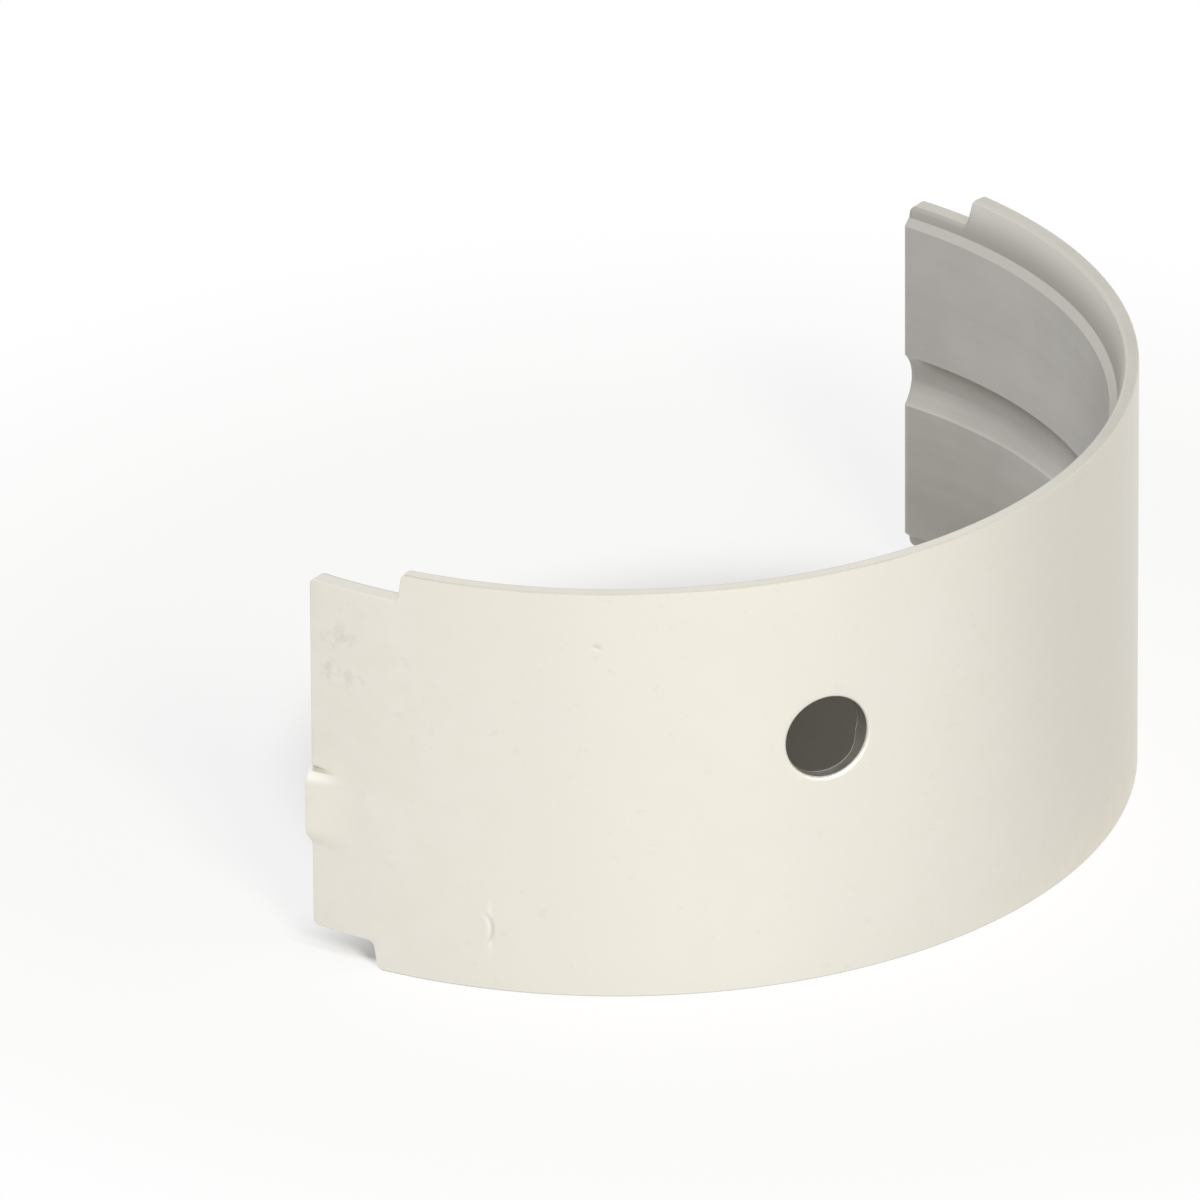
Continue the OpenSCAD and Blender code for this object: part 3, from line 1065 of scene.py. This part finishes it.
# The camera sees it plain inside the bow, where the shadow is full, then paler, then white
SHADOW_MIDDLE = (0.006, -0.010)
SHADOW_FULL = 0.018
SHADOW_PALE = 0.046
BOW_INSIDE = 0.0445
BOW_OUTSIDE = 0.0472
BOW_END = 0.003
OPEN_SIDE_FROM = -0.012
OPEN_SIDE_TO = 0.006
FLOOR_PALENESS = 0.88
FLOOR_NEAR = 0.060
FLOOR_FAR = 0.120
# The metal mirrors a smaller part of that plain floor
MIRRORED_MIDDLE = (0.010, -0.013)
MIRRORED_FULL = 0.019
MIRRORED_PALE = 0.042
# Behind the shell the floor is a little darker to the metal that mirrors it
BEHIND_FROM = -0.008
BEHIND_TO = 0.042
BEHIND_SHARE = 0.78
# Large lamp
KEY_DISTANCE = 1.2
KEY_SIZE = 0.34


def camera_ray(tree):
    """1 for rays from the camera."""
    return put(tree, "ShaderNodeLightPath").outputs["Is Camera Ray"]


def shine_ray(tree):
    """1 for rays from a shiny surface or through glass."""
    path = put(tree, "ShaderNodeLightPath")
    return largest(tree, path.outputs["Is Glossy Ray"], path.outputs["Is Transmission Ray"])


def floor_distance(tree, point, middle):
    """Distance of a point of the floor from a middle."""
    node = put(tree, "ShaderNodeVectorMath", operation="DISTANCE")
    feed(tree, node.inputs[0], point)
    feed(tree, node.inputs[1], (middle[0], middle[1], LOW.z))
    return node.outputs["Value"]


def view_axes():
    """Right, up and back directions of the camera."""
    low = math.cos(VIEW_RISE)
    back = Vector((-low * math.sin(VIEW_TURN), -low * math.cos(VIEW_TURN), math.sin(VIEW_RISE)))
    right = Vector((0, 0, 1)).cross(back).normalized()
    right = Matrix.Rotation(VIEW_ROLL, 3, back) @ right
    return right, back.cross(right), back


def seen_white(tree, point):
    """How white the camera sees the floor: plain in the bow, where the shadow falls, white further out."""
    y = split(tree, point)["Y"]
    outside_bow = ranged(tree, floor_distance(tree, point, (0, 0)), BOW_INSIDE, BOW_OUTSIDE)
    beside = times(tree, outside_bow, ranged(tree, y, BOW_END, -BOW_END))
    open_floor = largest(tree, outside_bow, ranged(tree, y, OPEN_SIDE_FROM, OPEN_SIDE_TO))
    away = floor_distance(tree, point, SHADOW_MIDDLE)
    beyond = times(tree, ranged(tree, away, SHADOW_FULL, SHADOW_PALE), open_floor)
    pale = ranged(tree, away, FLOOR_NEAR, FLOOR_FAR, FLOOR_PALENESS, 1.0)
    return times(tree, largest(tree, beyond, beside), pale)


def white_glow(tree, point):
    """White of the floor, a little darker behind the shell for the metal that mirrors it."""
    glow = put(tree, "ShaderNodeEmission")
    nearness = put(tree, "ShaderNodeVectorMath", operation="DOT_PRODUCT")
    feed(tree, nearness.inputs[0], point)
    feed(tree, nearness.inputs[1], view_axes()[2])
    behind = ranged(tree, nearness.outputs["Value"], BEHIND_FROM, BEHIND_TO, BEHIND_SHARE, 1.0)
    feed(tree, glow.inputs["Strength"], largest(tree, behind, camera_ray(tree)))
    return glow.outputs[0]


def floor_material(look):
    """Pale floor that keeps the shell's shadow, and is white further out."""
    material = bpy.data.materials.new("pale_floor")
    material.use_nodes = True
    tree = material.node_tree
    tree.nodes.clear()
    plain = put(tree, "ShaderNodeBsdfDiffuse")
    plain.inputs["Color"].default_value = rgba(look.floor)
    point = put(tree, "ShaderNodeTexCoord").outputs["Object"]
    mirrored = ranged(tree, floor_distance(tree, point, MIRRORED_MIDDLE), MIRRORED_FULL, MIRRORED_PALE)
    seen = times(tree, seen_white(tree, point), camera_ray(tree))
    shown = largest(tree, seen, times(tree, mirrored, shine_ray(tree)))
    blend = put(tree, "ShaderNodeMixShader")
    feed(tree, blend.inputs[0], shown)
    feed(tree, blend.inputs[1], plain.outputs[0])
    feed(tree, blend.inputs[2], white_glow(tree, point))
    feed(tree, put(tree, "ShaderNodeOutputMaterial").inputs["Surface"], blend.outputs[0])
    return material


def add_floor(context, look):
    """Wide round floor under the shell."""
    bm = bmesh.new()
    bmesh.ops.create_circle(
        bm, cap_ends=True, segments=FLOOR_SIDES, radius=FLOOR_RADIUS,
        matrix=Matrix.Translation((0, 0, LOW.z - FLOOR_GAP)))
    mesh = bpy.data.meshes.new("floor")
    bm.to_mesh(mesh)
    bm.free()
    mesh.materials.append(floor_material(look))
    floor = bpy.data.objects.new("floor", mesh)
    context.scene.collection.objects.link(floor)


def add_world(context, look):
    """Even light from all round, which the camera and shiny surfaces see as white."""
    world = bpy.data.worlds.new("even_light")
    world.use_nodes = True
    tree = world.node_tree
    tree.nodes.clear()
    white = put(tree, "ShaderNodeBackground")
    white.inputs["Color"].default_value = (1, 1, 1, 1)
    light = put(tree, "ShaderNodeBackground")
    light.inputs["Color"].default_value = (1, 1, 1, 1)
    light.inputs["Strength"].default_value = look.fill
    blend = put(tree, "ShaderNodeMixShader")
    feed(tree, blend.inputs[0], largest(tree, camera_ray(tree), shine_ray(tree)))
    feed(tree, blend.inputs[1], light.outputs[0])
    feed(tree, blend.inputs[2], white.outputs[0])
    feed(tree, put(tree, "ShaderNodeOutputWorld").inputs["Surface"], blend.outputs[0])
    context.scene.world = world


def add_camera(context, look, radius):
    """Camera at the picture's angle, far away with a long lens."""
    right, up, back = view_axes()
    aim = right * AIM_RIGHT * radius + up * AIM_UP * radius
    data = bpy.data.cameras.new("camera")
    data.sensor_width = SENSOR_MM
    data.lens = look.lens / MM
    data.clip_start = CLIP_START
    data.clip_end = CLIP_END
    camera = bpy.data.objects.new("camera", data)
    turned = Matrix((right, up, back)).transposed().to_4x4()
    camera.matrix_world = Matrix.Translation(aim + back * look.distance) @ turned
    context.scene.collection.objects.link(camera)
    context.scene.camera = camera


def add_lamp(context, name, place, size, power):
    """Large soft lamp that shines at the shell."""
    data = bpy.data.lights.new(name, "AREA")
    data.shape = "DISK"
    data.size = size
    data.energy = power
    lamp = bpy.data.objects.new(name, data)
    lamp.matrix_world = Matrix.Translation(place) @ place.to_track_quat("Z", "Y").to_matrix().to_4x4()
    context.scene.collection.objects.link(lamp)


class SHELL_OT_stage(bpy.types.Operator):
    """Add the floor, the light and the camera"""

    bl_idname = "scene.bearing_shell_stage"
    bl_label = "Set the stage"

    def execute(self, context):
        look = context.scene.stage_look
        add_floor(context, look)
        add_world(context, look)
        add_camera(context, look, context.scene.shell_sizes.back_radius)
        side = math.pi + VIEW_TURN - look.key_turn
        low = Vector((math.sin(side), math.cos(side), 0))
        place = low * math.cos(look.key_rise) + Vector((0, 0, math.sin(look.key_rise)))
        add_lamp(context, "key_lamp", place * KEY_DISTANCE, KEY_SIZE, look.key_power)
        context.scene.view_settings.view_transform = "Standard"
        return {"FINISHED"}


class SHELL_PT_panel(bpy.types.Panel):
    """Sizes and finish of the bearing shell"""

    bl_label = "Bearing shell"
    bl_idname = "SHELL_PT_panel"
    bl_space_type = "VIEW_3D"
    bl_region_type = "UI"
    bl_category = "Bearing shell"

    def draw(self, context):
        layout = self.layout
        scene = context.scene
        layout.operator(SHELL_OT_build.bl_idname)
        layout.operator(SHELL_OT_stage.bl_idname)
        groups = (("Sizes", scene.shell_sizes), ("Finish", scene.shell_finish), ("Stage", scene.stage_look))
        for title, group in groups:
            box = layout.box()
            box.label(text=title)
            for name in group.__annotations__:
                box.prop(group, name)


CLASSES = (ShellSizes, ShellFinish, StageLook, SHELL_OT_build, SHELL_OT_stage, SHELL_PT_panel)


def register():
    for cls in CLASSES:
        bpy.utils.register_class(cls)
    bpy.types.Scene.shell_sizes = PointerProperty(type=ShellSizes)
    bpy.types.Scene.shell_finish = PointerProperty(type=ShellFinish)
    bpy.types.Scene.stage_look = PointerProperty(type=StageLook)


def unregister():
    del bpy.types.Scene.stage_look
    del bpy.types.Scene.shell_finish
    del bpy.types.Scene.shell_sizes
    for cls in reversed(CLASSES):
        bpy.utils.unregister_class(cls)


def main():
    register()
    bpy.ops.mesh.bearing_shell_build()
    bpy.ops.scene.bearing_shell_stage()


if __name__ == "__main__":
    main()
